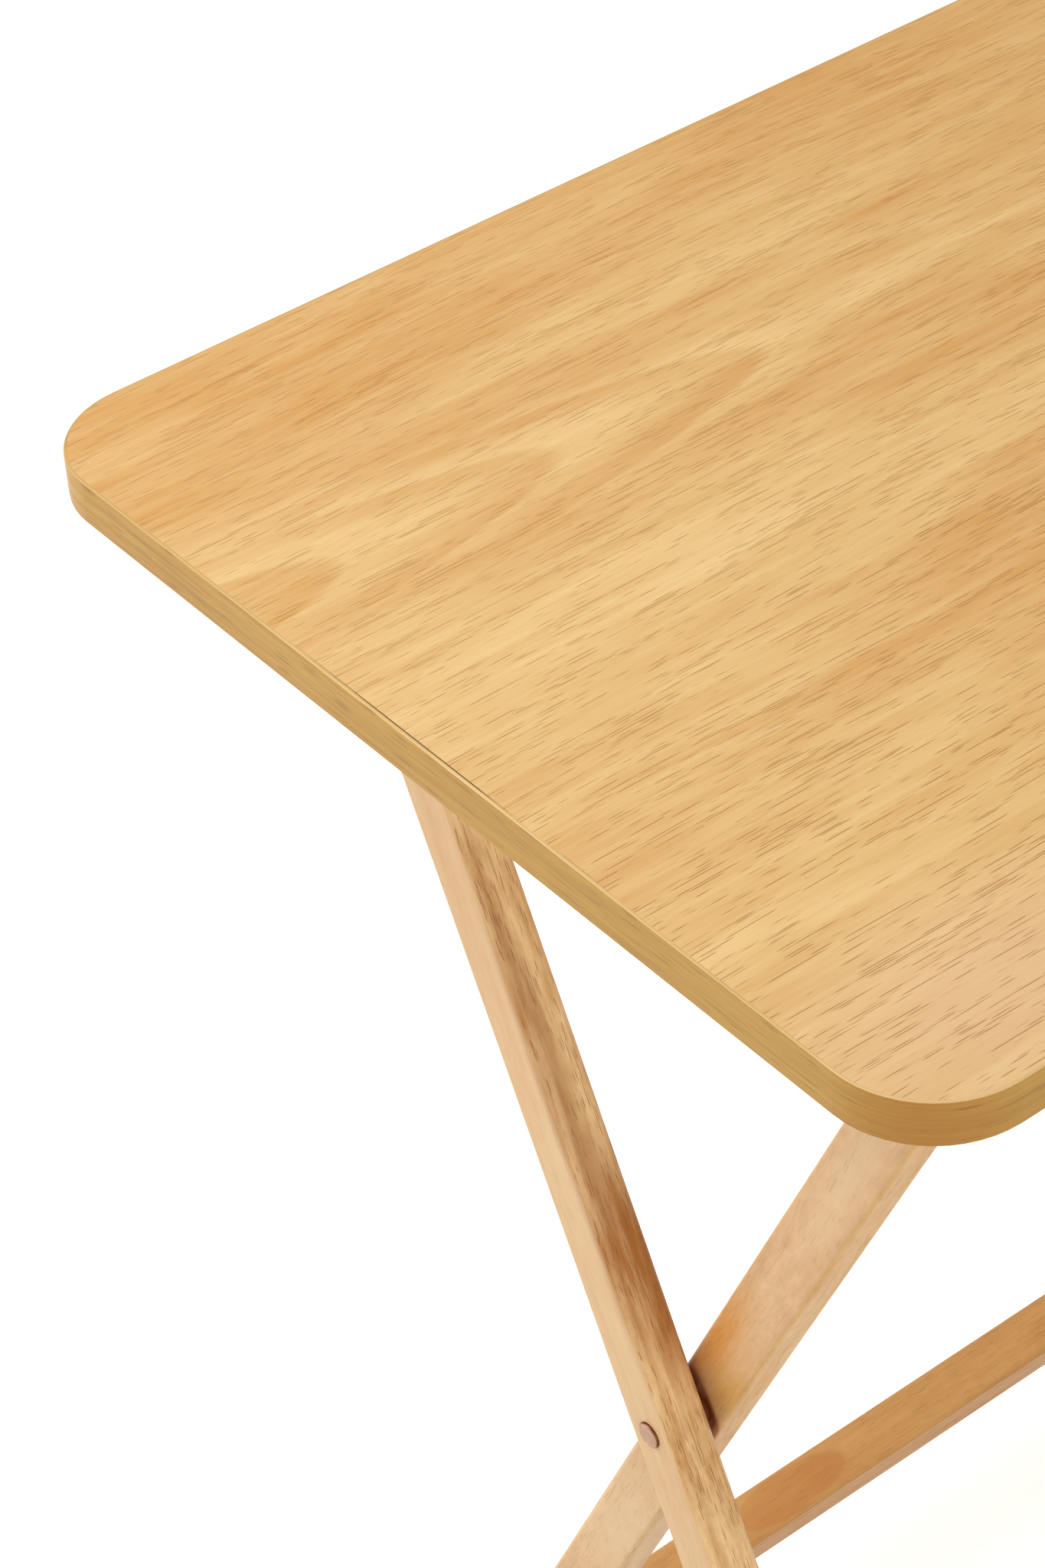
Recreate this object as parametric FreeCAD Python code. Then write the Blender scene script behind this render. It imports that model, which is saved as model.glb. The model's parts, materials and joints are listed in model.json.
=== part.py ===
"""Folding snack table: a laminated top on two crossed leg frames.

Millimetres. +Z is up, X runs along the long side of the top, -Y is the front. The origin is on the
floor, under the middle of the top. The outer legs lean back and carry the top's hinge. The inner legs
lean forward and carry the rod that the top's catches sit on.
"""
import FreeCAD
import Part
import math
import os

# Table
TABLE_HEIGHT = 650.0
TOP_LENGTH = 500.0
TOP_DEPTH = 400.0
TOP_THICKNESS = 15.0
TOP_CORNER_RADIUS = 33.0
LAMINATE_THICKNESS = 0.6
EDGE_BAND_THICKNESS = 1.0
EDGE_BAND_ROUND = 0.5

# Legs
LEG_WIDTH = 23.0
LEG_THICKNESS = 16.8
LEG_EDGE_ROUND = 2.5
LEG_INSET = 65.3
LEG_GAP = 3.4
PIVOT_HEIGHT = 325.0

# Cross rails
RAIL_THICKNESS = 20.0
RAIL_WIDTH = 36.0
RAIL_EDGE_ROUND = 2.5
RAIL_ABOVE_FOOT = 61.6
DOWEL_DIAMETER = 8.0
DOWEL_SPACING = 18.0
DOWEL_DEPTH_IN_LEG = 11.0
DOWEL_DEPTH_IN_RAIL = 16.0
DOWEL_END_GAP = 0.5

# Pivot rivets
RIVET_DIAMETER = 6.0
RIVET_HEAD_DIAMETER = 9.6
RIVET_HEAD_HEIGHT = 1.1
RIVET_HEAD_ROUND = 0.8
RIVET_TAIL_DIAMETER = 8.5
RIVET_TAIL_HEIGHT = 1.2
BURR_DIAMETER = 12.0
BURR_THICKNESS = 1.0
PIVOT_WASHER_DIAMETER = 13.0

# Hinge of the top
HINGE_SETBACK = 61.5
LEG_TOP_CLEARANCE = 1.5
HINGE_PIN_DIAMETER = 6.0
HINGE_PIN_DEPTH = 12.0
HINGE_HEAD_DIAMETER = 11.0
HINGE_HEAD_HEIGHT = 2.0
HINGE_HEAD_ROUND = 0.8
HINGE_WASHER_DIAMETER = 15.0
HINGE_WASHER_THICKNESS = 1.0
BRACKET_LENGTH = 76.0
BRACKET_THICKNESS = 16.0
BRACKET_WALL_BELOW_PIN = 9.0
BRACKET_CORNER_ROUND = 8.0
BRACKET_SCREW_SPACING = 50.0
BRACKET_SCREW_DIAMETER = 4.0
BRACKET_SCREW_HEAD_DIAMETER = 8.0
BRACKET_SCREW_HEAD_HEIGHT = 2.4
BRACKET_SCREW_RECESS = 6.0

# Catch rod and catches
ROD_DIAMETER = 16.0
ROD_TENON_DIAMETER = 12.0
ROD_TENON_LENGTH = 11.0
CATCH_WIDTH = 22.0
CATCH_INSET = 34.0
CATCH_STOP_THICKNESS = 11.0
CATCH_STOP_BELOW_AXIS = 5.0
CATCH_ROOF_BEHIND_AXIS = 24.0
CATCH_SCREW_BEHIND_AXIS = 15.0
CATCH_SCREW_DIAMETER = 3.5
CATCH_SCREW_HEAD_DIAMETER = 6.6
CATCH_SCREW_HEAD_HEIGHT = 1.7
SCREW_COVER = 5.0
SCREW_CROSS_LENGTH = 4.0
SCREW_CROSS_WIDTH = 0.9
SCREW_CROSS_DEPTH = 1.1

# Clearances
FIT_CLEARANCE = 0.05
RUNNING_CLEARANCE = 0.08
SIDE_GAP = 0.2
ROD_GAP = 0.3

# Two values nearer than this are one place when edges are picked out
SAME_PLACE = 0.01

# Places that follow from the sizes above
UNDERSIDE = TABLE_HEIGHT - TOP_THICKNESS
SCREW_DEPTH_IN_TOP = TOP_THICKNESS - SCREW_COVER
HINGE_DROP = LEG_WIDTH / 2 + LEG_TOP_CLEARANCE
HINGE_HEIGHT = UNDERSIDE - HINGE_DROP
HINGE_Y = TOP_DEPTH / 2 - HINGE_SETBACK
LEG_ANGLE = math.atan2(HINGE_HEIGHT - PIVOT_HEIGHT, HINGE_Y)
LEG_COS = math.cos(LEG_ANGLE)
LEG_SIN = math.sin(LEG_ANGLE)
HINGE_DISTANCE = HINGE_Y / LEG_COS
RAIL_DISTANCE = PIVOT_HEIGHT / LEG_SIN - RAIL_ABOVE_FOOT
OUTER_LEG_X = -TOP_LENGTH / 2 + LEG_INSET
INNER_LEG_X = OUTER_LEG_X + LEG_THICKNESS + LEG_GAP
OUTER_FRAME_INSIDE = OUTER_LEG_X + LEG_THICKNESS
INNER_FRAME_INSIDE = INNER_LEG_X + LEG_THICKNESS
HINGE_GAP = HINGE_WASHER_THICKNESS + SIDE_GAP
BRACKET_X = OUTER_LEG_X - HINGE_GAP - BRACKET_THICKNESS
CATCH_X = INNER_FRAME_INSIDE + CATCH_INSET

ALONG_X = FreeCAD.Vector(1, 0, 0)
UP = FreeCAD.Vector(0, 0, 1)
ORIGIN = FreeCAD.Vector(0, 0, 0)

os.makedirs("parts", exist_ok=True)


def cylinder_x(x, y, z, diameter, length):
    """Round bar along X that starts at x."""
    return Part.makeCylinder(diameter / 2, length, FreeCAD.Vector(x, y, z), ALONG_X)


def cylinder_z(x, y, z, diameter, height):
    """Round bar along Z that starts at z."""
    return Part.makeCylinder(diameter / 2, height, FreeCAD.Vector(x, y, z), UP)


def rounded(solid, radius, chosen):
    """Round the edges of a solid for which chosen(edge) is true."""
    edges = [edge for edge in solid.Edges if chosen(edge)]
    return solid.makeFillet(radius, edges)


def lies_at(edge, axis, value):
    """True where a whole edge lies at one value of x, y or z."""
    low = getattr(edge.BoundBox, axis + "Min")
    high = getattr(edge.BoundBox, axis + "Max")
    return abs(low - value) < SAME_PLACE and abs(high - value) < SAME_PLACE


def on_leg(lean, distance, across=0.0):
    """Point of a leg's side view: distance up from the pivot, across towards the upper side.

    lean is +1 for a leg whose top leans back and -1 for one whose top leans forward.
    """
    y = distance * LEG_COS - across * LEG_SIN
    z = distance * LEG_SIN + across * LEG_COS
    return FreeCAD.Vector(0, lean * y, PIVOT_HEIGHT + z)


def mirrored(solid):
    """The same piece on the right-hand side of the table."""
    return solid.mirror(ORIGIN, ALONG_X)


def save(name, *solids):
    """Write one node, made of one or more separate solids."""
    shape = solids[0] if len(solids) == 1 else Part.makeCompound(list(solids))
    shape.exportStep("parts/" + name + ".step")


def save_pair(name, left):
    """Write a left-hand piece and its right-hand twin."""
    save(name + "_left", left)
    save(name + "_right", mirrored(left))


# The top
def top_sheet(inset, bottom, thickness):
    """Sheet of the top's outline, drawn in by inset from the finished edge."""
    length = TOP_LENGTH - 2 * inset
    depth = TOP_DEPTH - 2 * inset
    sheet = Part.makeBox(length, depth, thickness, FreeCAD.Vector(-length / 2, -depth / 2, bottom))

    def upright(edge):
        return edge.BoundBox.XLength < SAME_PLACE and edge.BoundBox.YLength < SAME_PLACE

    return rounded(sheet, TOP_CORNER_RADIUS - inset, upright)


def bracket_screw_places():
    """Middle of each bracket screw on the left bracket."""
    x = BRACKET_X + BRACKET_THICKNESS / 2
    return [(x, HINGE_Y + side * BRACKET_SCREW_SPACING / 2) for side in (-1, 1)]


def catch_screw_places():
    """Middle of each catch screw on the left catch: one in the stop, one in the roof."""
    x = CATCH_X + CATCH_WIDTH / 2
    stop_y = -HINGE_Y - ROD_DIAMETER / 2 - ROD_GAP - CATCH_STOP_THICKNESS / 2
    return [(x, stop_y), (x, -HINGE_Y + CATCH_SCREW_BEHIND_AXIS)]


def screw_holes(bottom, height):
    """Holes for every screw of the top, on both sides, between two heights."""
    holes = []
    for places, diameter in (
        (bracket_screw_places(), BRACKET_SCREW_DIAMETER),
        (catch_screw_places(), CATCH_SCREW_DIAMETER),
    ):
        for x, y in places:
            for side in (1, -1):
                holes.append(cylinder_z(side * x, y, bottom, diameter + 2 * FIT_CLEARANCE, height))
    return Part.makeCompound(holes)


core_bottom = UNDERSIDE + LAMINATE_THICKNESS
core_height = TOP_THICKNESS - 2 * LAMINATE_THICKNESS
core = top_sheet(EDGE_BAND_THICKNESS, core_bottom, core_height)
core = core.cut(screw_holes(UNDERSIDE, SCREW_DEPTH_IN_TOP + FIT_CLEARANCE))
save("tabletop_core", core)

save("top_laminate", top_sheet(EDGE_BAND_THICKNESS, core_bottom + core_height, LAMINATE_THICKNESS))

backing = top_sheet(EDGE_BAND_THICKNESS, UNDERSIDE, LAMINATE_THICKNESS)
save("backing_laminate", backing.cut(screw_holes(UNDERSIDE, LAMINATE_THICKNESS)))

band = top_sheet(0.0, UNDERSIDE, TOP_THICKNESS)
band = rounded(band, EDGE_BAND_ROUND, lambda edge: edge.BoundBox.ZLength < SAME_PLACE)
save("edge_band", band.cut(top_sheet(EDGE_BAND_THICKNESS, UNDERSIDE, TOP_THICKNESS)))


# The hinge under the back of the top
def hinge_bracket():
    """Block under the top, outside the left outer leg, that holds the hinge pin."""
    height = HINGE_DROP + BRACKET_WALL_BELOW_PIN
    bottom = UNDERSIDE - height
    corner = FreeCAD.Vector(BRACKET_X, HINGE_Y - BRACKET_LENGTH / 2, bottom)
    block = Part.makeBox(BRACKET_THICKNESS, BRACKET_LENGTH, height, corner)

    def lower_corner(edge):
        return lies_at(edge, "Z", bottom) and edge.BoundBox.XLength > SAME_PLACE

    block = rounded(block, BRACKET_CORNER_ROUND, lower_corner)
    pin_hole = HINGE_PIN_DIAMETER + 2 * FIT_CLEARANCE
    block = block.cut(cylinder_x(BRACKET_X, HINGE_Y, HINGE_HEIGHT, pin_hole, BRACKET_THICKNESS))
    for x, y in bracket_screw_places():
        hole = BRACKET_SCREW_DIAMETER + 2 * FIT_CLEARANCE
        recess = BRACKET_SCREW_HEAD_DIAMETER + 2 * FIT_CLEARANCE
        block = block.cut(cylinder_z(x, y, bottom, hole, height))
        block = block.cut(cylinder_z(x, y, bottom, recess, BRACKET_SCREW_RECESS))
    return block


def screw(x, y, seat, diameter, head_diameter, head_height):
    """Screw up into the top, its head below the seat with a cross recess in it."""
    bottom = seat - head_height
    head = cylinder_z(x, y, bottom, head_diameter, head_height)
    shank = cylinder_z(x, y, seat, diameter, UNDERSIDE + SCREW_DEPTH_IN_TOP - seat)
    solid = head.fuse(shank).removeSplitter()
    for length, width in (
        (SCREW_CROSS_LENGTH, SCREW_CROSS_WIDTH),
        (SCREW_CROSS_WIDTH, SCREW_CROSS_LENGTH),
    ):
        corner = FreeCAD.Vector(x - length / 2, y - width / 2, bottom)
        solid = solid.cut(Part.makeBox(length, width, SCREW_CROSS_DEPTH, corner))
    return solid


def bracket_screws():
    """Screws that hold the left bracket, heads sunk in its lower face."""
    seat = UNDERSIDE - HINGE_DROP - BRACKET_WALL_BELOW_PIN + BRACKET_SCREW_RECESS
    sizes = (BRACKET_SCREW_DIAMETER, BRACKET_SCREW_HEAD_DIAMETER, BRACKET_SCREW_HEAD_HEIGHT)
    return [screw(x, y, seat, *sizes) for x, y in bracket_screw_places()]


def hinge_pin():
    """Headed pin through the left bracket, blind in the upper end of the outer leg."""
    length = BRACKET_THICKNESS + HINGE_GAP + HINGE_PIN_DEPTH - DOWEL_END_GAP
    shank = cylinder_x(BRACKET_X, HINGE_Y, HINGE_HEIGHT, HINGE_PIN_DIAMETER, length)
    head_x = BRACKET_X - HINGE_HEAD_HEIGHT
    head = cylinder_x(head_x, HINGE_Y, HINGE_HEIGHT, HINGE_HEAD_DIAMETER, HINGE_HEAD_HEIGHT)
    head = rounded(head, HINGE_HEAD_ROUND, lambda edge: lies_at(edge, "X", head_x))
    return head.fuse(shank).removeSplitter()


def hinge_washer():
    """Ring on the hinge pin, between the left bracket and the outer leg."""
    x = BRACKET_X + BRACKET_THICKNESS
    hole = HINGE_PIN_DIAMETER + 2 * FIT_CLEARANCE
    ring = cylinder_x(x, HINGE_Y, HINGE_HEIGHT, HINGE_WASHER_DIAMETER, HINGE_WASHER_THICKNESS)
    return ring.cut(cylinder_x(x, HINGE_Y, HINGE_HEIGHT, hole, HINGE_WASHER_THICKNESS))


save_pair("hinge_bracket", hinge_bracket())
left_screws = bracket_screws()
save("bracket_screws", *left_screws, *[mirrored(screw) for screw in left_screws])
save_pair("hinge_pin", hinge_pin())
save_pair("hinge_washer", hinge_washer())


# The catches under the front of the top
def catch_block():
    """Left catch: a stop in front of the rod and a roof over it, open behind and below."""
    rod_seat = ROD_DIAMETER / 2 + ROD_GAP
    front = -HINGE_Y - rod_seat - CATCH_STOP_THICKNESS
    back = -HINGE_Y + CATCH_ROOF_BEHIND_AXIS
    roof = HINGE_HEIGHT + rod_seat
    seat_y = -HINGE_Y - rod_seat
    stop_bottom = HINGE_HEIGHT - CATCH_STOP_BELOW_AXIS

    def at(y, z):
        return FreeCAD.Vector(CATCH_X, y, z)

    slant = rod_seat * math.sqrt(0.5)
    over_seat = at(-HINGE_Y - slant, HINGE_HEIGHT + slant)
    seat_arc = Part.Arc(at(seat_y, HINGE_HEIGHT), over_seat, at(-HINGE_Y, roof)).toShape()
    outline = Part.Wire([
        Part.makeLine(at(front, UNDERSIDE), at(front, stop_bottom)),
        Part.makeLine(at(front, stop_bottom), at(seat_y, stop_bottom)),
        Part.makeLine(at(seat_y, stop_bottom), at(seat_y, HINGE_HEIGHT)),
        seat_arc,
        Part.makeLine(at(-HINGE_Y, roof), at(back, roof)),
        Part.makeLine(at(back, roof), at(back, UNDERSIDE)),
        Part.makeLine(at(back, UNDERSIDE), at(front, UNDERSIDE)),
    ])
    block = Part.Face(outline).extrude(FreeCAD.Vector(CATCH_WIDTH, 0, 0))
    for (x, y), bottom in zip(catch_screw_places(), (stop_bottom, roof)):
        hole = CATCH_SCREW_DIAMETER + 2 * FIT_CLEARANCE
        recess = CATCH_SCREW_HEAD_DIAMETER + 2 * FIT_CLEARANCE
        block = block.cut(cylinder_z(x, y, bottom, hole, UNDERSIDE - bottom))
        block = block.cut(cylinder_z(x, y, bottom, recess, CATCH_SCREW_HEAD_HEIGHT))
    return block


def catch_screws():
    """Screws that hold the left catch, heads flush with its lower faces."""
    roof = HINGE_HEIGHT + ROD_DIAMETER / 2 + ROD_GAP
    bottoms = (HINGE_HEIGHT - CATCH_STOP_BELOW_AXIS, roof)
    sizes = (CATCH_SCREW_DIAMETER, CATCH_SCREW_HEAD_DIAMETER, CATCH_SCREW_HEAD_HEIGHT)
    screws = []
    for (x, y), bottom in zip(catch_screw_places(), bottoms):
        screws.append(screw(x, y, bottom + CATCH_SCREW_HEAD_HEIGHT, *sizes))
    return screws


save_pair("catch_block", catch_block())
left_screws = catch_screws()
save("catch_screws", *left_screws, *[mirrored(screw) for screw in left_screws])


# The legs
def dowel_places(lean):
    """Side view of the two dowels at each end of a rail."""
    return [on_leg(lean, -RAIL_DISTANCE + side * DOWEL_SPACING / 2) for side in (-1, 1)]


def leg(lean, x):
    """Leg with a round upper end and a foot cut flat on the floor, bored for pivot and rail."""
    half = LEG_WIDTH / 2

    def foot(across):
        distance = -(PIVOT_HEIGHT + across * LEG_COS) / LEG_SIN
        return on_leg(lean, distance, across)

    upper = on_leg(lean, HINGE_DISTANCE, half)
    crown = on_leg(lean, HINGE_DISTANCE + half)
    lower = on_leg(lean, HINGE_DISTANCE, -half)
    outline = Part.Wire([
        Part.makeLine(foot(half), upper),
        Part.Arc(upper, crown, lower).toShape(),
        Part.makeLine(lower, foot(-half)),
        Part.makeLine(foot(-half), foot(half)),
    ])
    outline.translate(FreeCAD.Vector(x, 0, 0))
    solid = Part.Face(outline).extrude(FreeCAD.Vector(LEG_THICKNESS, 0, 0))

    def long_edge(edge):
        side = lies_at(edge, "X", x) or lies_at(edge, "X", x + LEG_THICKNESS)
        return side and not lies_at(edge, "Z", 0.0)

    solid = rounded(solid, LEG_EDGE_ROUND, long_edge)
    pivot_hole = RIVET_DIAMETER + 2 * RUNNING_CLEARANCE
    solid = solid.cut(cylinder_x(x, 0, PIVOT_HEIGHT, pivot_hole, LEG_THICKNESS))
    dowel_x = x + LEG_THICKNESS - DOWEL_DEPTH_IN_LEG - DOWEL_END_GAP
    dowel_hole = DOWEL_DIAMETER + 2 * FIT_CLEARANCE
    for place in dowel_places(lean):
        depth = DOWEL_DEPTH_IN_LEG + DOWEL_END_GAP
        solid = solid.cut(cylinder_x(dowel_x, place.y, place.z, dowel_hole, depth))
    return solid


def outer_leg():
    """Left outer leg: leans back, with a blind hole for the hinge pin in its outer face."""
    hole = HINGE_PIN_DIAMETER + 2 * RUNNING_CLEARANCE
    return leg(1, OUTER_LEG_X).cut(cylinder_x(OUTER_LEG_X, HINGE_Y, HINGE_HEIGHT, hole, HINGE_PIN_DEPTH))


def inner_leg():
    """Left inner leg: leans forward, with a blind hole for the rod in its inner face."""
    depth = ROD_TENON_LENGTH + DOWEL_END_GAP
    hole = ROD_TENON_DIAMETER + 2 * FIT_CLEARANCE
    place = on_leg(-1, HINGE_DISTANCE)
    return leg(-1, INNER_LEG_X).cut(cylinder_x(INNER_FRAME_INSIDE - depth, place.y, place.z, hole, depth))


save_pair("outer_leg", outer_leg())
save_pair("inner_leg", inner_leg())


# The rails, the rod and the dowels
def rail(lean, inside):
    """Cross rail between two legs whose inner faces are at -inside and +inside."""
    middle = -RAIL_DISTANCE
    half_width = RAIL_WIDTH / 2
    half_thickness = RAIL_THICKNESS / 2
    corners = [
        on_leg(lean, middle + half_width, half_thickness),
        on_leg(lean, middle + half_width, -half_thickness),
        on_leg(lean, middle - half_width, -half_thickness),
        on_leg(lean, middle - half_width, half_thickness),
    ]
    face = Part.Face(Part.makePolygon(corners + corners[:1]))
    face.translate(FreeCAD.Vector(-inside, 0, 0))
    solid = face.extrude(FreeCAD.Vector(2 * inside, 0, 0))
    solid = rounded(solid, RAIL_EDGE_ROUND, lambda edge: edge.BoundBox.XLength > SAME_PLACE)
    depth = DOWEL_DEPTH_IN_RAIL + DOWEL_END_GAP
    hole = DOWEL_DIAMETER + 2 * FIT_CLEARANCE
    for place in dowel_places(lean):
        for start in (-inside, inside - depth):
            solid = solid.cut(cylinder_x(start, place.y, place.z, hole, depth))
    return solid


def rail_dowels(lean, inside):
    """Dowels that join a rail to its two legs."""
    length = DOWEL_DEPTH_IN_LEG + DOWEL_DEPTH_IN_RAIL
    dowels = []
    for place in dowel_places(lean):
        for start in (-inside - DOWEL_DEPTH_IN_LEG, inside - DOWEL_DEPTH_IN_RAIL):
            dowels.append(cylinder_x(start, place.y, place.z, DOWEL_DIAMETER, length))
    return dowels


def catch_rod():
    """Round bar between the upper ends of the inner legs, with a tenon at each end."""
    place = on_leg(-1, HINGE_DISTANCE)
    inside = -INNER_FRAME_INSIDE
    bar = cylinder_x(-inside, place.y, place.z, ROD_DIAMETER, 2 * inside)
    reach = inside + ROD_TENON_LENGTH
    tenons = cylinder_x(-reach, place.y, place.z, ROD_TENON_DIAMETER, 2 * reach)
    return bar.fuse(tenons).removeSplitter()


save("outer_rail", rail(1, -OUTER_FRAME_INSIDE))
save("outer_rail_dowels", *rail_dowels(1, -OUTER_FRAME_INSIDE))
save("inner_rail", rail(-1, -INNER_FRAME_INSIDE))
save("inner_rail_dowels", *rail_dowels(-1, -INNER_FRAME_INSIDE))
save("catch_rod", catch_rod())


# The pivot where the legs cross
def pivot_rivet():
    """Left rivet: head on the outer leg, set end inside the inner leg."""
    head_x = OUTER_LEG_X - RIVET_HEAD_HEIGHT
    head = cylinder_x(head_x, 0, PIVOT_HEIGHT, RIVET_HEAD_DIAMETER, RIVET_HEAD_HEIGHT)
    head = rounded(head, RIVET_HEAD_ROUND, lambda edge: lies_at(edge, "X", head_x))
    burr_end = INNER_FRAME_INSIDE + SIDE_GAP + BURR_THICKNESS
    shank = cylinder_x(OUTER_LEG_X, 0, PIVOT_HEIGHT, RIVET_DIAMETER, burr_end - OUTER_LEG_X)
    tail = cylinder_x(burr_end, 0, PIVOT_HEIGHT, RIVET_TAIL_DIAMETER, RIVET_TAIL_HEIGHT)
    tail = rounded(tail, RIVET_HEAD_ROUND, lambda edge: lies_at(edge, "X", burr_end + RIVET_TAIL_HEIGHT))
    return head.fuse([shank, tail]).removeSplitter()


def ring_on_rivet(x, diameter, thickness):
    """Flat ring on the left rivet."""
    hole = RIVET_DIAMETER + 2 * FIT_CLEARANCE
    ring = cylinder_x(x, 0, PIVOT_HEIGHT, diameter, thickness)
    return ring.cut(cylinder_x(x, 0, PIVOT_HEIGHT, hole, thickness))


save_pair("pivot_rivet", pivot_rivet())
save_pair("pivot_washer", ring_on_rivet(OUTER_FRAME_INSIDE, PIVOT_WASHER_DIAMETER, LEG_GAP - SIDE_GAP))
save_pair("rivet_burr", ring_on_rivet(INNER_FRAME_INSIDE + SIDE_GAP, BURR_DIAMETER, BURR_THICKNESS))
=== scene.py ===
"""Folding snack table: materials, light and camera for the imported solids. Metres, +Z up."""
import bpy
import json
from collections import namedtuple
from mathutils import Matrix, Vector


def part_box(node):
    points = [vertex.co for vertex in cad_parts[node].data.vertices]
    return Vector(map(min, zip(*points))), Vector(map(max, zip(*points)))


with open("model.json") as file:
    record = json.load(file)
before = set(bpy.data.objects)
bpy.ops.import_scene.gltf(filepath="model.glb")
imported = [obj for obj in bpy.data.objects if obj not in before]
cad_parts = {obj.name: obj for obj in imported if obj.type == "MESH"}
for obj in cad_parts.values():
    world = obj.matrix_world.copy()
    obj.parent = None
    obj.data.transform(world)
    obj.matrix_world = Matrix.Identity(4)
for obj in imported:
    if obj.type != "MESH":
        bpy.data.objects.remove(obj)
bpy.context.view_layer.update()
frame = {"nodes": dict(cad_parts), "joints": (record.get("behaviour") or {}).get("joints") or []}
nodes = frame["nodes"]
scene = bpy.context.scene

# Places read from the frame
joint_places = {joint["name"]: Vector(joint["pos_m"]) for joint in frame["joints"]}
PIVOT = joint_places["leg_fold"]
LEG_RISE = (joint_places["top_lift"] - PIVOT).normalized()
BAND_LOW, BAND_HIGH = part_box("edge_band")
SHEET_LOW, SHEET_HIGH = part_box("top_laminate")

# Grain directions, and for each leg the directions up along it and across it
ALONG_X = Vector((1, 0, 0))
ALONG_Y = Vector((0, 1, 0))
UP_OUTER_LEG = Vector((0, LEG_RISE.y, LEG_RISE.z))
UP_INNER_LEG = Vector((0, -LEG_RISE.y, LEG_RISE.z))
OUTER_LEG = UP_OUTER_LEG, ALONG_X.cross(UP_OUTER_LEG)
INNER_LEG = UP_INNER_LEG, ALONG_X.cross(UP_INNER_LEG)

MM = 0.001
SHEET_CORNER_RADIUS = 32 * MM
RAIL_HALF_WIDTH = 18 * MM


def mm(*lengths):
    """Millimetres as metres."""
    return tuple(length * MM for length in lengths)


def tint(red, green, blue):
    """Screen colour from 0 to 255 as the linear colour that a socket takes."""
    linear = []
    for level in (red, green, blue):
        share = level / 255
        linear.append(share / 12.92 if share <= 0.04045 else ((share + 0.055) / 1.055) ** 2.4)
    return (*linear, 1.0)


# Pores of the wood: the pitch of their rows, a stroke's core and edge as shares of the pitch, the length of a
# patch of their noise counted in rows, and the levels of the noise at which a stroke starts and is full
PORE_PITCH = 0.8 * MM
STROKE_CORE = 0.12
STROKE_EDGE = 0.31
PATCH_ROWS = 0.19
STROKE_START = 0.53
STROKE_FULL = 0.68


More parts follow.
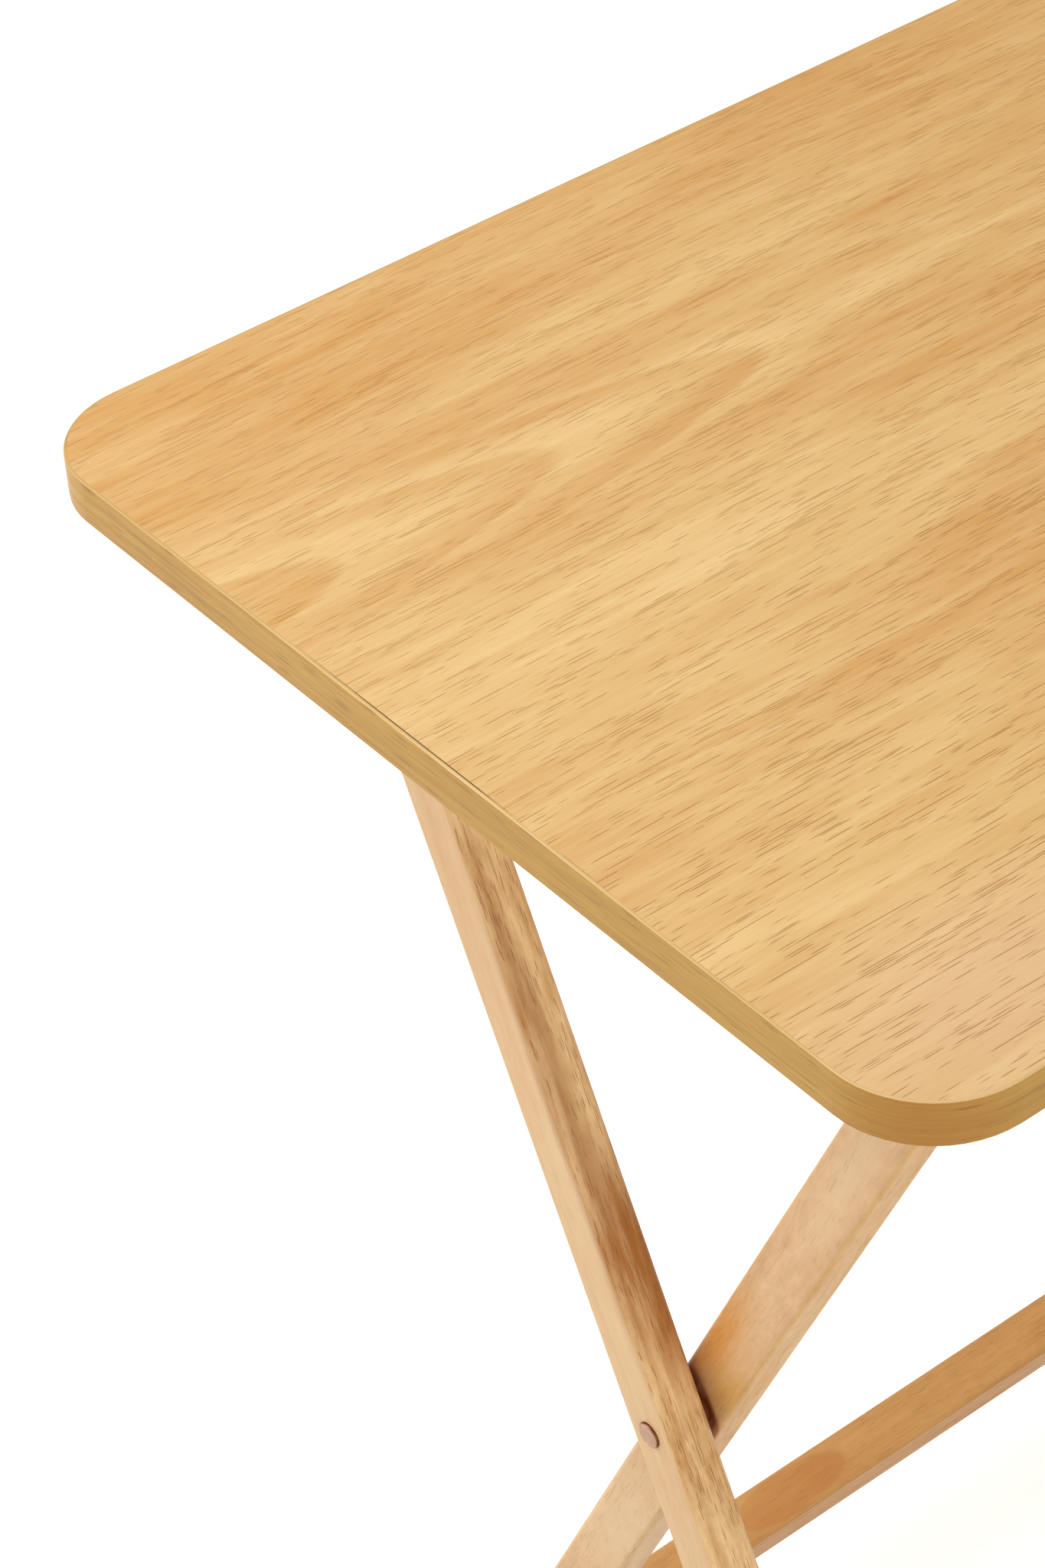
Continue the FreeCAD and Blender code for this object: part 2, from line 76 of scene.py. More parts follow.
class Shader:
    """One material, with short ways to add and join its nodes."""

    def __init__(self, name):
        self.material = bpy.data.materials.new(name)
        self.material.use_nodes = True
        self.tree = self.material.node_tree
        self.surface = self.tree.nodes["Principled BSDF"]

    def add(self, kind, inputs, **settings):
        """New node, with its settings and with each named or numbered input linked or set."""
        node = self.tree.nodes.new(kind)
        for key, value in settings.items():
            setattr(node, key, value)
        for key, value in inputs.items():
            self.put(node.inputs[key], value)
        return node

    def put(self, socket, value):
        """Link an output to a socket, or set the socket's own value."""
        if isinstance(value, bpy.types.NodeSocket):
            self.tree.links.new(value, socket)
        else:
            socket.default_value = value

    def math(self, operation, *values):
        """Number worked out from one to three numbers."""
        return self.add("ShaderNodeMath", dict(enumerate(values)), operation=operation).outputs[0]

    def times(self, first, second):
        return self.math("MULTIPLY", first, second)

    def minus(self, first, second):
        return self.math("SUBTRACT", first, second)

    def size(self, value):
        """Number without its sign."""
        return self.math("ABSOLUTE", value)

    def total(self, first, *others):
        """Sum of two or more numbers."""
        for other in others:
            first = self.math("ADD", first, other)
        return first

    def vector(self, operation, *values):
        """Vector worked out from one or two vectors."""
        return self.vector_node(operation, values).outputs["Vector"]

    def measure(self, operation, *values):
        """Number worked out from one or two vectors."""
        return self.vector_node(operation, values).outputs["Value"]

    def vector_node(self, operation, values):
        return self.add("ShaderNodeVectorMath", dict(enumerate(values)), operation=operation)

    def joined(self, x=0.0, y=0.0, z=0.0):
        """Vector from its three parts."""
        return self.add("ShaderNodeCombineXYZ", {0: x, 1: y, 2: z}).outputs[0]

    def parts(self, point):
        """The three parts of a vector."""
        return self.add("ShaderNodeSeparateXYZ", {0: point}).outputs

    def ease(self, value, low, high, start=0.0, end=1.0):
        """Smooth step from start to end while value goes from low to high."""
        inputs = {"Value": value, "From Min": low, "From Max": high, "To Min": start, "To Max": end}
        return self.add("ShaderNodeMapRange", inputs, interpolation_type="SMOOTHSTEP").outputs[0]

    def fade(self, value, low, high):
        """Smooth step from 1 down to 0 while value goes from low to high."""
        return self.ease(value, low, high, 1.0, 0.0)

    def mix(self, share, first, second):
        """Colour that goes from first to second as share goes from 0 to 1."""
        inputs = {0: share, 6: first, 7: second}
        return self.add("ShaderNodeMix", inputs, data_type="RGBA").outputs[2]

    def point(self):
        """Point of the piece at rest, in metres."""
        return self.add("ShaderNodeTexCoord", {}).outputs["Object"]

    def facing(self, direction):
        """How squarely the surface of the piece faces along or against a direction."""
        normal = self.add("ShaderNodeTexCoord", {}).outputs["Normal"]
        return self.size(self.measure("DOT_PRODUCT", normal, direction))

    def turned(self, along, across):
        """Point with its parts along the grain, across it and through the piece."""
        point = self.point()
        directions = (along, across, along.cross(across))
        return self.joined(*[self.measure("DOT_PRODUCT", point, direction) for direction in directions])

    def noise(self, point, lengths, seed, detail=2.0, roughness=0.5):
        """Noise from 0 to 1 whose patches have the given lengths along the point's three parts."""
        spread = self.vector("DIVIDE", point, lengths)
        place = self.vector("ADD", spread, (seed * 3.71, seed * 7.13, seed * 1.93))
        inputs = {"Vector": place, "Scale": 1.0, "Detail": detail, "Roughness": roughness}
        return self.add("ShaderNodeTexNoise", inputs).outputs[0]

    def swing(self, noise, amount):
        """Noise moved to swing about zero, times an amount."""
        return self.times(self.minus(noise, 0.5), amount)

    def tone(self, *swings):
        """Tone about one half, moved by pairs of a noise and its amount."""
        return self.total(0.5, *[self.swing(noise, amount) for noise, amount in swings])

    def spot(self, point, centre, lengths, core):
        """1 round a centre, fading from a core to 0 at the given lengths along the point's three parts."""
        away = self.vector("DIVIDE", self.vector("SUBTRACT", point, centre), lengths)
        return self.fade(self.measure("LENGTH", away), core, 1.0)

    def strokes(self, along, side, length, density, seed):
        """Thin separate strokes along the grain, 0 to 1, in rows of uneven place side by side."""
        rows = self.math("DIVIDE", side, PORE_PITCH)
        row = self.math("FLOOR", rows)
        uneven = self.add("ShaderNodeTexWhiteNoise", {"W": row}, noise_dimensions="1D").outputs["Value"]
        middle = self.math("MULTIPLY_ADD", uneven, 0.5, 0.25)
        off = self.size(self.minus(self.math("FRACT", rows), middle))
        thin = self.fade(off, STROKE_CORE, STROKE_EDGE)
        run = self.noise(self.joined(along, row), (length, PATCH_ROWS, 1.0), seed, 1.0)
        return self.times(thin, self.ease(self.total(run, density), STROKE_START, STROKE_FULL))

    def finish(self, colour, roughness, height, depth, shine=None):
        """Join colour, roughness, relief and shine to the surface. Returns the material."""
        self.put(self.surface.inputs["Base Color"], colour)
        self.put(self.surface.inputs["Roughness"], roughness)
        bump = self.add("ShaderNodeBump", {"Height": height, "Distance": depth, "Strength": 1.0})
        self.put(self.surface.inputs["Normal"], bump.outputs[0])
        if shine is not None:
            self.surface.inputs["Specular IOR Level"].default_value = shine
        return self.material


# The wood-look sheet on the top. ENDLESS is a length, in mm, over which a pattern doesn't change.
ENDLESS = 1000
LAMINATE_SHINE = 0.25
SHEET_PALE = tint(241, 205, 143)
SHEET_DEEP = tint(217, 161, 91)
SHEET_PORE = tint(156, 96, 40)
FRONT_STROKES = 0.66
BACK_STROKES = 0.46

# Its tone, 0 pale to 1 deep, at places from the front edge, 0, to the back edge, 1, and the painted shade
# that it adds towards +X, away from the key light
DEPTH_TONES = ((0.0, 0.36), (0.3, 0.56), (0.44, 0.45), (0.56, 0.22), (0.72, 0.50), (0.82, 0.30), (0.94, 0.72))
PAINTED_FALLOFF_TONE = 0.24

# Its arches: nested curves that point along +X, one behind the other on a line at one depth
ARCH_LINE = 84 * MM
ARCH_TIP = -50 * MM
ARCH_SPACING = 80 * MM
ARCH_BEND = 0.16 / MM
ARCH_WAVER = 24 * MM
ARCH_SHARE = 0.43
ARCH_MEAN = 0.35
ARCH_CALM = 0.55

# Its paler, pinker front corner, which is painted sheen, and the open seam along its left edge
PAINTED_CORNER_SHEEN = tint(233, 194, 150)
CORNER_SHEEN_SHARE = 0.55
CORNER_INSET = Vector(mm(50, 25, 0))
SEAM_DARK = tint(92, 58, 22)
SEAM_MIDDLE = -8 * MM
SEAM_SHARE = 0.95


def sheet_arches(shade, point):
    """Nested arches of the sheet's figure, 0 pale to 1 dark, and how clearly they show."""
    waver = shade.swing(shade.noise(point, mm(70, 16, ENDLESS), 5, 4.0, 0.6), ARCH_WAVER)
    x, y, _ = shade.parts(point)
    side = shade.minus(y, ARCH_LINE)
    curve = shade.times(shade.times(side, side), ARCH_BEND)
    reach = shade.total(x, curve, waver, -ARCH_TIP)
    ring = shade.math("FRACT", shade.math("DIVIDE", reach, ARCH_SPACING))
    rise = shade.ease(ring, 0.1, 0.85)
    fall = shade.ease(ring, 0.84, 0.99, 1.0, -0.1)
    near = shade.fade(shade.size(side), *mm(10, 38))
    before_tip = shade.fade(reach, *mm(8, 30))
    return shade.times(rise, fall), shade.times(near, before_tip)


def sheet_bands(shade, x, y):
    """Broad pale and dark bands of the sheet from front to back, and painted shade that darkens it towards
    +X, except near the back.
    """
    ramp = shade.add("ShaderNodeValToRGB", {0: shade.ease(y, SHEET_LOW.y, SHEET_HIGH.y)})
    elements = ramp.color_ramp.elements
    while len(elements) < len(DEPTH_TONES):
        elements.new(1.0)
    for element, (place, tone) in zip(elements, DEPTH_TONES):
        element.position = place
        element.color = (tone, tone, tone, 1.0)
    # Painted shade: the sheet darker towards +X, away from the key light
    painted_falloff = shade.ease(x, *mm(-180, 40))
    before_back = shade.ease(y, *mm(70, 140), PAINTED_FALLOFF_TONE, 0.0)
    return shade.total(ramp.outputs[0], shade.times(painted_falloff, before_back))


def sheet_border(shade, point):
    """Distance in from the sheet's outline, in metres."""
    half = (SHEET_HIGH - SHEET_LOW) / 2
    any_height = 10.0
    straight = Vector((half.x - SHEET_CORNER_RADIUS, half.y - SHEET_CORNER_RADIUS, any_height))
    beyond = shade.vector("SUBTRACT", shade.vector("ABSOLUTE", point), straight)
    outside = shade.measure("LENGTH", shade.vector("MAXIMUM", beyond, (0, 0, 0)))
    return shade.minus(SHEET_CORNER_RADIUS, outside)


def sheet_seam(shade, point, y):
    """How much the fine seam to the edge band stands open, 0 to 1: in places, and not near the corners."""
    in_places = shade.ease(shade.noise(point, mm(60, 60, ENDLESS), 9), 0.25, 0.4)
    off_middle = shade.size(shade.minus(y, SEAM_MIDDLE))
    open_joint = shade.times(in_places, shade.fade(off_middle, *mm(25, 80)))
    return shade.times(shade.ease(sheet_border(shade, point), *mm(0.3, 0.5), SEAM_SHARE, 0.0), open_joint)


def sheet_wood():
    """Satin oak-look sheet, grain along X: bands, streaks, nested arches and short dark pores."""
    shade = Shader("top_laminate")
    point = shade.point()
    x, y, _ = shade.parts(point)
    sway = shade.swing(shade.noise(point, mm(200, 60, ENDLESS), 8), 9 * MM)
    swayed = shade.vector("ADD", point, shade.joined(y=sway))
    arches, arches_show = sheet_arches(shade, point)
    calm = shade.ease(arches_show, 0.0, 1.0, 1.0, ARCH_CALM)
    broad = shade.noise(swayed, mm(170, 28, ENDLESS), 1)
    middle = shade.noise(swayed, mm(60, 8, ENDLESS), 2, 3.0)
    narrow = shade.noise(swayed, mm(40, 2.2, ENDLESS), 3, 3.0)
    fibre = shade.noise(swayed, mm(30, 0.5, ENDLESS), 4)
    tone = shade.total(
        sheet_bands(shade, x, y),
        shade.times(shade.swing(broad, 0.85), calm),
        shade.times(shade.swing(middle, 1.0), calm),
        shade.swing(narrow, 0.75),
        shade.swing(fibre, 0.22),
        shade.times(shade.minus(arches, ARCH_MEAN), shade.times(arches_show, ARCH_SHARE)),
    )
    wood = shade.mix(tone, SHEET_PALE, SHEET_DEEP)
    # Painted sheen: a paler, pinker patch at the front left corner
    corner = Vector((SHEET_LOW.x, SHEET_LOW.y, SHEET_HIGH.z)) + CORNER_INSET
    sheen_spot = shade.spot(point, corner, mm(100, 60, ENDLESS), 0.1)
    wood = shade.mix(shade.times(sheen_spot, CORNER_SHEEN_SHARE), wood, PAINTED_CORNER_SHEEN)
    crowding = shade.noise(swayed, mm(45, 9, ENDLESS), 6)
    pore = shade.strokes(x, shade.total(y, sway), 12 * MM, shade.swing(crowding, 0.3), 7)
    strength = shade.ease(y, SHEET_LOW.y, SHEET_HIGH.y, FRONT_STROKES, BACK_STROKES)
    colour = shade.mix(shade.times(pore, strength), wood, SHEET_PORE)
    colour = shade.mix(sheet_seam(shade, point, y), colour, SEAM_DARK)
    roughness = shade.total(0.55, shade.times(pore, 0.15), shade.swing(narrow, 0.12))
    height = shade.minus(shade.times(fibre, 0.2), pore)
    return shade.finish(colour, roughness, height, 0.02 * MM, LAMINATE_SHINE)


# The strip round the edge of the top, browner at its front left corner, with a painted highlight along its
# upper edge
BAND_PALE = tint(203, 160, 69)
BAND_DEEP = tint(160, 111, 38)
BAND_PORE = tint(122, 78, 30)
BAND_CORNER = tint(176, 110, 44)
BAND_EDGE_HIGHLIGHT = tint(235, 199, 140)


def band_edge_highlight(shade, point, broad):
    """How strongly the painted highlight along the upper edge of the strip shows, 0 to 1, least at the back.
    """
    _, y, z = shade.parts(point)
    edge = shade.ease(z, BAND_HIGH.z - 0.35 * MM, BAND_HIGH.z - 0.1 * MM)
    highlight = shade.times(edge, shade.ease(broad, 0.35, 0.65, 0.6, 0.9))
    return shade.times(highlight, shade.ease(y, *mm(50, 150), 1.0, 0.55))


def band_wood():
    """Olive-tan edge strip with streaks that run round the top."""
    shade = Shader("edge_band")
    point = shade.point()
    broad = shade.noise(point, mm(120, 120, 9), 11)
    streak = shade.noise(point, mm(70, 70, 1.6), 12, 3.0)
    fibre = shade.noise(point, mm(40, 40, 0.5), 13)
    wood = shade.mix(shade.tone((broad, 0.7), (streak, 0.9), (fibre, 0.4)), BAND_PALE, BAND_DEEP)
    corner = shade.spot(point, BAND_LOW, mm(40, 40, 40), 0.3)
    wood = shade.mix(shade.times(corner, 0.5), wood, BAND_CORNER)
    pore = shade.ease(shade.noise(point, mm(14, 14, 0.7), 14, 0.0), 0.6, 0.8)
    colour = shade.mix(shade.times(pore, 0.45), wood, BAND_PORE)
    # Painted highlight: a pale line along the strip's upper edge
    colour = shade.mix(band_edge_highlight(shade, point, broad), colour, BAND_EDGE_HIGHLIGHT)
    roughness = shade.total(0.42, shade.swing(streak, 0.15))
    return shade.finish(colour, roughness, shade.minus(fibre, pore), 0.02 * MM, LAMINATE_SHINE)


def backing_wood():
    """Plain matt sheet under the top, with a faint printed grain."""
    shade = Shader("backing_laminate")
    point = shade.point()
    broad = shade.noise(point, mm(200, 30, ENDLESS), 21)
    streak = shade.noise(point, mm(50, 2.5, ENDLESS), 22, 3.0)
    colour = shade.mix(shade.tone((broad, 0.8), (streak, 0.9)), tint(232, 196, 142), tint(214, 168, 108))
    return shade.finish(colour, shade.total(0.55, shade.swing(streak, 0.1)), streak, 0.02 * MM)


def core_board():
    """Brown fibreboard with fine pale fibres."""
    shade = Shader("core_board")
    point = shade.point()
    layer = shade.noise(point, mm(30, 30, 1.2), 31, 3.0)
    speck = shade.noise(point, mm(0.8, 0.8, 0.4), 32)
    colour = shade.mix(shade.tone((layer, 0.8), (speck, 0.9)), tint(196, 160, 116), tint(158, 120, 78))
    return shade.finish(colour, shade.total(0.85, shade.swing(speck, 0.1)), speck, 0.1 * MM)


# The solid wood. On its lined faces, those across the grain, the vessels show as lines. The others are plain.
CREAM_WOOD = {
    "plain": tint(229, 193, 144), "plain_deep": tint(211, 166, 114), "plain_pores": 0.08,
    "lined": tint(246, 210, 155), "lined_deep": tint(201, 150, 90), "lined_pores": 0.58,
    "pore": tint(142, 77, 27), "shine": 0.2, "mottle": 0.3,
}
PINK_WOOD = {
    "plain": tint(229, 189, 143), "plain_deep": tint(204, 158, 111), "plain_pores": 0.17,
    "lined": tint(226, 186, 128), "lined_deep": tint(208, 160, 100), "lined_pores": 0.3,
    "pore": tint(146, 84, 42), "shine": 0.06, "mottle": 1.2,
}
ORANGE_WOOD = {
    "plain": tint(209, 153, 66), "plain_deep": tint(186, 127, 44), "plain_pores": 0.1,
    "lined": tint(219, 168, 106), "lined_deep": tint(206, 151, 91), "lined_pores": 0.2,
    "pore": tint(140, 86, 42), "shine": 0.06, "mottle": 0.7,
}
BROWN_STAIN = tint(163, 101, 40)
AMBER_STAIN = tint(212, 148, 78)
GOLD_STAIN = tint(208, 160, 84)
RUST_STAIN = tint(204, 139, 79)
PALE_STREAK = tint(236, 208, 165)
# Painted shade: the dark band in the crevice between the crossed legs, under the outer leg
PAINTED_CREVICE_SHADE = tint(138, 56, 3)

# Patch of another colour: its centre and lengths are given along two directions and the one square to both
Patch = namedtuple("Patch", "directions centre lengths core colour strength")


def solid_wood(name, directions, seed, look, patches=()):
    """Lacquered rubberwood, with the directions along and across its grain."""
    shade = Shader(name)
    point = shade.turned(*directions)
    across = directions[1]
    lined_face = shade.ease(shade.facing(across), 0.3, 0.6)
    broad = shade.noise(point, mm(110, 14, 14), seed)
    middle = shade.noise(point, mm(40, 4, 4), seed + 1, 3.0)
    fibre = shade.noise(point, mm(18, 0.8, 0.8), seed + 2)
    cloud = shade.noise(point, mm(9, 5, 5), seed + 5, 3.0, 0.6)
    plain_tone = shade.tone((broad, 0.9), (middle, 0.7), (fibre, 0.25), (cloud, look["mottle"]))
    lined_tone = shade.tone((broad, 1.9), (middle, 1.4), (fibre, 0.7), (cloud, 1.1))
    plain = shade.mix(plain_tone, look["plain"], look["plain_deep"])
    lined = shade.mix(lined_tone, look["lined"], look["lined_deep"])
    wood = shade.mix(lined_face, plain, lined)
    for patch in patches:
        spot = shade.spot(shade.turned(*patch.directions), patch.centre, patch.lengths, patch.core)
        uneven = shade.ease(middle, 0.3, 0.6, 0.6 * patch.strength, patch.strength)
        wood = shade.mix(shade.times(spot, uneven), wood, patch.colour)
    pore = solid_pores(shade, point, across, broad, cloud, seed)
    strength = shade.ease(lined_face, 0.0, 1.0, look["plain_pores"], look["lined_pores"])
    colour = shade.mix(shade.times(pore, strength), wood, look["pore"])
    roughness = shade.total(0.36, shade.times(pore, 0.2), shade.swing(middle, 0.15))
    return shade.finish(colour, roughness, shade.minus(fibre, pore), 0.03 * MM, look["shine"])


def solid_pores(shade, point, across, broad, cloud, seed):
    """Wavy strokes along the grain, in rows that lie side by side on each face."""
    run, side, through = shade.parts(point)
    on_lined_face = shade.math("GREATER_THAN", shade.facing(across), 0.5)
    side = shade.math("MULTIPLY_ADD", on_lined_face, shade.minus(through, side), side)
    side = shade.total(side, shade.swing(broad, 5 * MM), shade.swing(cloud, 1.5 * MM))
    crowding = shade.noise(point, mm(50, 7, 7), seed + 4)
    return shade.strokes(run, side, 9 * MM, shade.swing(crowding, 0.4), seed + 3)


def leg_patch(directions, place, lengths, core, colour, strength):
    """Patch on a leg. Its place is the height above the pivot, the offset across the leg, and x."""
    up, across = directions
    height, offset, x = place
    centre = (PIVOT.dot(up) + height, PIVOT.dot(across) + offset, x)
    return Patch(directions, centre, lengths, core, colour, strength)


def outer_leg_patches(x, painted_falloff):
    """Brown stain above the crossing: a narrow streak beside the outer edge, and under it a broad patch."""
    streak_place = (130 * MM, 12 * MM, x - painted_falloff * 6 * MM)
    broad_place = (60 * MM, 12 * MM, x + painted_falloff * 3 * MM)
    return [
        leg_patch(OUTER_LEG, streak_place, mm(115, 8, 10), 0.2, BROWN_STAIN, 0.65),
        leg_patch(OUTER_LEG, broad_place, mm(64, 8, 18), 0.22, BROWN_STAIN, 0.95),
    ]


def inner_leg_patches(x, crevice_shade_x):
    """Amber and gold beside the crossing, pale streaks, and painted shade in the crevice under the outer leg.
    """
    return [
        leg_patch(INNER_LEG, (38 * MM, -8 * MM, x), mm(60, 24, 40), 0.2, AMBER_STAIN, 1.0),
        leg_patch(INNER_LEG, (24 * MM, 6 * MM, x), mm(24, 11, 40), 0.2, GOLD_STAIN, 0.8),
        leg_patch(INNER_LEG, (62 * MM, 3 * MM, x), mm(50, 7, 40), 0.2, PALE_STREAK, 0.3),
        leg_patch(INNER_LEG, (180 * MM, 0.0, x), mm(80, 14, 40), 0.2, PALE_STREAK, 0.4),
        leg_patch(INNER_LEG, (-110 * MM, 0.0, x), mm(80, 40, 40), 0.2, PALE_STREAK, 0.45),
        # Painted shade in the crevice, on the inner leg's face under the outer leg
        leg_patch(OUTER_LEG, (0.0, 0.0, crevice_shade_x), mm(24, 10.8, 2.2), 0.7, PAINTED_CREVICE_SHADE, 0.95),
    ]


def inner_rail_patches():
    """Rust-coloured stain on the upper part of the inner rail, with a redder heart."""
    middle = sum(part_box("inner_rail"), Vector()) / 2
    directions = ALONG_X, UP_INNER_LEG
    upper_edge = middle.dot(UP_INNER_LEG) + RAIL_HALF_WIDTH
    through = middle.dot(INNER_LEG[1])
    return [
        Patch(directions, (-26 * MM, upper_edge, through), mm(30, 9.5, 9.5), 0.88, RUST_STAIN, 0.65),
        Patch(directions, (-11 * MM, upper_edge, through), mm(18, 12, 12), 0.2, RUST_STAIN, 0.6),
    ]


def metal(name, bright, dull, roughness, seed, rim_shade=None):
    """Metal with cloudy tarnish and fine scratches, and if asked painted shade: a darker rim round the X
    axis.
    """
    shade = Shader(name)
    point = shade.point()
    cloud = shade.noise(point, mm(2.5, 2.5, 2.5), seed, 3.0)
    scratch = shade.noise(point, mm(0.25, 3, 0.25), seed + 1)
    colour = shade.mix(shade.tone((cloud, 1.4), (scratch, 0.6)), bright, dull)
    if rim_shade is not None:
        # Painted shade on the side wall of the rivet head
        colour = shade.mix(shade.fade(shade.facing(ALONG_X), 0.5, 0.97), colour, rim_shade)
    shade.surface.inputs["Metallic"].default_value = 1.0
    return shade.finish(colour, shade.total(roughness, shade.swing(cloud, 0.2)), scratch, 0.02 * MM)


def plastic(name, pale, deep, seed, shine):
    """Moulded plastic with a fine grained skin."""
    shade = Shader(name)
    point = shade.point()
    cloud = shade.noise(point, mm(6, 6, 6), seed)
    grain = shade.noise(point, mm(0.4, 0.4, 0.4), seed + 1)
    colour = shade.mix(shade.tone((cloud, 0.8), (grain, 0.4)), pale, deep)
    return shade.finish(colour, shade.total(0.5, shade.swing(grain, 0.15)), grain, 0.03 * MM, shine)


def dress(material, *names):
    """Give CAD pieces one material."""
    for name in names:
        piece = nodes[name].data
        piece.materials.clear()
        piece.materials.append(material)


def both(name):
    """Names of a piece's left and right copies."""
    return name + "_left", name + "_right"


def middle_x(box):
    return sum(corner.x for corner in box) / 2


def dress_legs():
    """Wood of the legs and hinge brackets on both sides. Each piece has its own grain."""
    for number, side in enumerate(("left", "right")):
        seed = 100 + 40 * number
        painted_falloff = 1 - 2 * number
        outer = "outer_leg_" + side
        patches = outer_leg_patches(middle_x(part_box(outer)), painted_falloff)
        dress(solid_wood(outer, OUTER_LEG, seed, CREAM_WOOD, patches), outer)
        inner = "inner_leg_" + side
        # The inner leg's face towards the outer leg, where the painted crevice shade goes
        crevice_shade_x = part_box(inner)[number].x
        patches = inner_leg_patches(middle_x(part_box(inner)), crevice_shade_x)
        dress(solid_wood(inner, INNER_LEG, seed + 10, PINK_WOOD, patches), inner)
        bracket = "hinge_bracket_" + side
        dress(solid_wood(bracket, (ALONG_Y, ALONG_X), seed + 20, CREAM_WOOD), bracket)


def dress_rails():
    """Wood of the rails, of the dowels that hold them and of the catch rod."""
    outer_wood = solid_wood("outer_rail", (ALONG_X, UP_OUTER_LEG), 200, ORANGE_WOOD)
    dress(outer_wood, "outer_rail", "outer_rail_dowels")
    inner_wood = solid_wood("inner_rail", (ALONG_X, UP_INNER_LEG), 210, ORANGE_WOOD, inner_rail_patches())
    dress(inner_wood, "inner_rail", "inner_rail_dowels")
    dress(solid_wood("catch_rod", (ALONG_X, ALONG_Y), 220, CREAM_WOOD), "catch_rod")


def dress_fittings():
    """Metal and plastic of the small pieces."""
    # The rivet's last colour is the painted shade on the side wall of its head
    copper = metal("rivet_metal", tint(188, 154, 128), tint(158, 114, 88), 0.42, 300, tint(104, 66, 42))
    dress(copper, *both("pivot_rivet"), *both("rivet_burr"))
    zinc = metal("steel", tint(206, 204, 198), tint(150, 148, 142), 0.35, 310)
    dress(zinc, *both("hinge_pin"), "bracket_screws", "catch_screws")
    # Partly painted shade: the washers are dark brown so that the pivot washers read as the shade in the gap
    # between the legs
    nylon = plastic("washer_plastic", tint(118, 66, 32), tint(88, 46, 20), 320, 0.05)
    dress(nylon, *both("hinge_washer"), *both("pivot_washer"))
    moulded = plastic("catch_plastic", tint(126, 92, 62), tint(96, 66, 42), 330, 0.4)
    dress(moulded, *both("catch_block"))


dress(sheet_wood(), "top_laminate")
dress(band_wood(), "edge_band")
dress(backing_wood(), "backing_laminate")
dress(core_board(), "tabletop_core")
dress_legs()
dress_rails()
dress_fittings()

# The floor and the surroundings
FLOOR_SIZE = 30.0
FLOOR_COLOUR = (0.86, 0.86, 0.86, 1.0)
FLOOR_ROUGHNESS = 0.9
FLOOR_GLOW = 0.55
AMBIENT = 0.4
WHITE = (1.0, 1.0, 1.0, 1.0)


def seen_directly(tree):
    """1 for what the camera sees, also in a mirror or through glass, and 0 for light on its way."""
    path = tree.nodes.new("ShaderNodeLightPath")
    seen = path.outputs["Is Camera Ray"]
    for kind in ("Is Glossy Ray", "Is Transmission Ray"):
        either = tree.nodes.new("ShaderNodeMath")
        either.operation = "MAXIMUM"
        tree.links.new(seen, either.inputs[0])
        tree.links.new(path.outputs[kind], either.inputs[1])
        seen = either.outputs[0]
    return seen


def floor_white():
    """White floor that glows a little to the camera and keeps its shadows."""
    shade = Shader("floor")
    inputs = shade.surface.inputs
    inputs["Base Color"].default_value = FLOOR_COLOUR
    inputs["Roughness"].default_value = FLOOR_ROUGHNESS
    inputs["Specular IOR Level"].default_value = 0.0
    inputs["Emission Color"].default_value = WHITE
    shade.put(inputs["Emission Strength"], shade.times(seen_directly(shade.tree), FLOOR_GLOW))
    return shade.material


def add_floor():
    """Large floor under the feet."""
    mesh = bpy.data.meshes.new("floor")
    half = FLOOR_SIZE / 2
    corners = [(-half, -half, 0), (half, -half, 0), (half, half, 0), (-half, half, 0)]
    mesh.from_pydata(corners, [], [(0, 1, 2, 3)])
    floor = bpy.data.objects.new("floor", mesh)
    scene.collection.objects.link(floor)
    mesh.materials.append(floor_white())


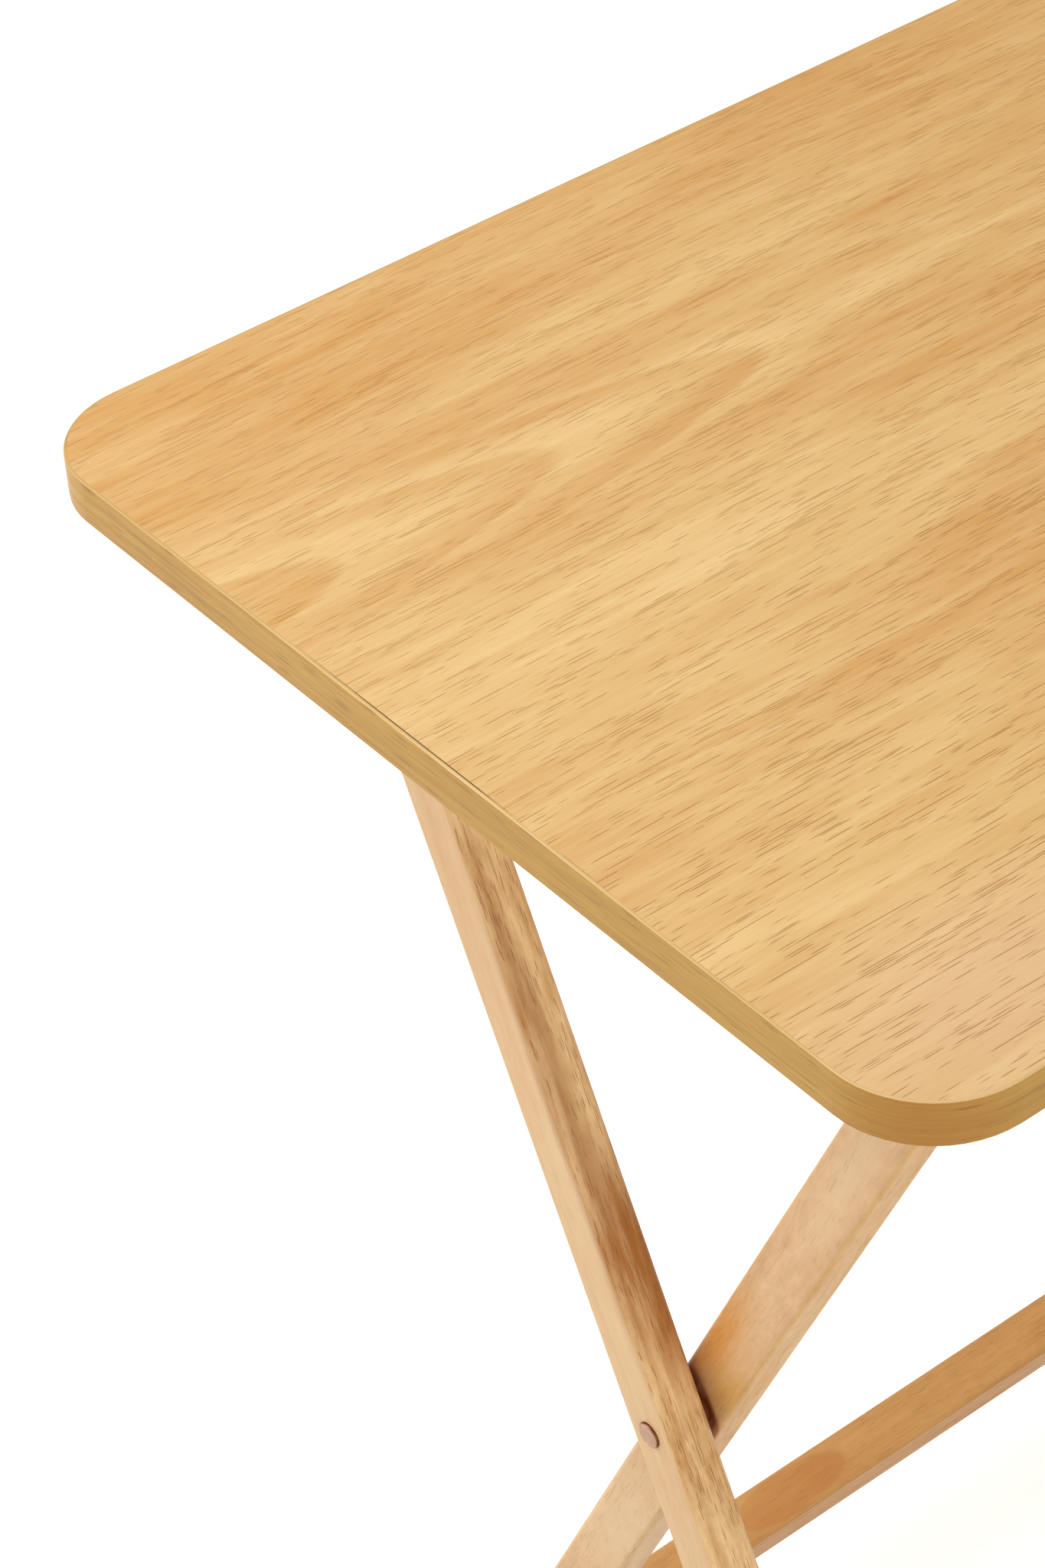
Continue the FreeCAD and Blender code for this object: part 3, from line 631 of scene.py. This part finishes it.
def add_world():
    """Even white surroundings: soft as light, plain white where they are seen."""
    world = bpy.data.worlds.new("surroundings")
    world.use_nodes = True
    scene.world = world
    tree = world.node_tree
    background = tree.nodes["Background"]
    background.inputs["Color"].default_value = WHITE
    strength = tree.nodes.new("ShaderNodeMapRange")
    tree.links.new(seen_directly(tree), strength.inputs["Value"])
    strength.inputs["To Min"].default_value = AMBIENT
    strength.inputs["To Max"].default_value = 1.0
    tree.links.new(strength.outputs[0], background.inputs["Strength"])


def add_softbox(name, place, size, power):
    """Square lamp that faces the middle of the table's top."""
    lamp = bpy.data.lights.new(name, "AREA")
    lamp.shape = "SQUARE"
    lamp.size = size
    lamp.energy = power
    softbox = bpy.data.objects.new(name, lamp)
    scene.collection.objects.link(softbox)
    aim = Vector((0, 0, BAND_LOW.z)) - Vector(place)
    softbox.location = place
    softbox.rotation_euler = aim.to_track_quat("-Z", "Y").to_euler()


add_floor()
add_world()
add_softbox("key_light", place=(-1.4, 1.2, 1.15), size=0.9, power=15.0)
add_softbox("top_light", place=(-0.9, 0.4, 2.1), size=1.2, power=16.3)
add_softbox("front_light", place=(-0.3, -2.2, 0.8), size=1.4, power=20.0)

# The camera, solved from the photograph's edges. The sensor and the lens are in mm.
CAMERA_PLACE = Vector((-0.73867, -0.72875, 1.36238))
CAMERA_LOOK = Vector((0.44788, 0.62622, -0.63816)).normalized()
CAMERA_TOP = Vector((0.42708, 0.47722, 0.76802))
SENSOR_HEIGHT = 36.0
LENS = 96.1


def add_camera():
    """Camera at the photograph's place, direction, tilt and angle of view."""
    lens = bpy.data.cameras.new("camera")
    lens.sensor_fit = "VERTICAL"
    lens.sensor_height = SENSOR_HEIGHT
    lens.lens = LENS
    camera = bpy.data.objects.new("camera", lens)
    scene.collection.objects.link(camera)
    right = CAMERA_LOOK.cross(CAMERA_TOP).normalized()
    top = right.cross(CAMERA_LOOK)
    turn = Matrix((right, top, -CAMERA_LOOK)).transposed().to_4x4()
    camera.matrix_world = Matrix.Translation(CAMERA_PLACE) @ turn
    scene.camera = camera


add_camera()
scene.view_settings.view_transform = "Standard"
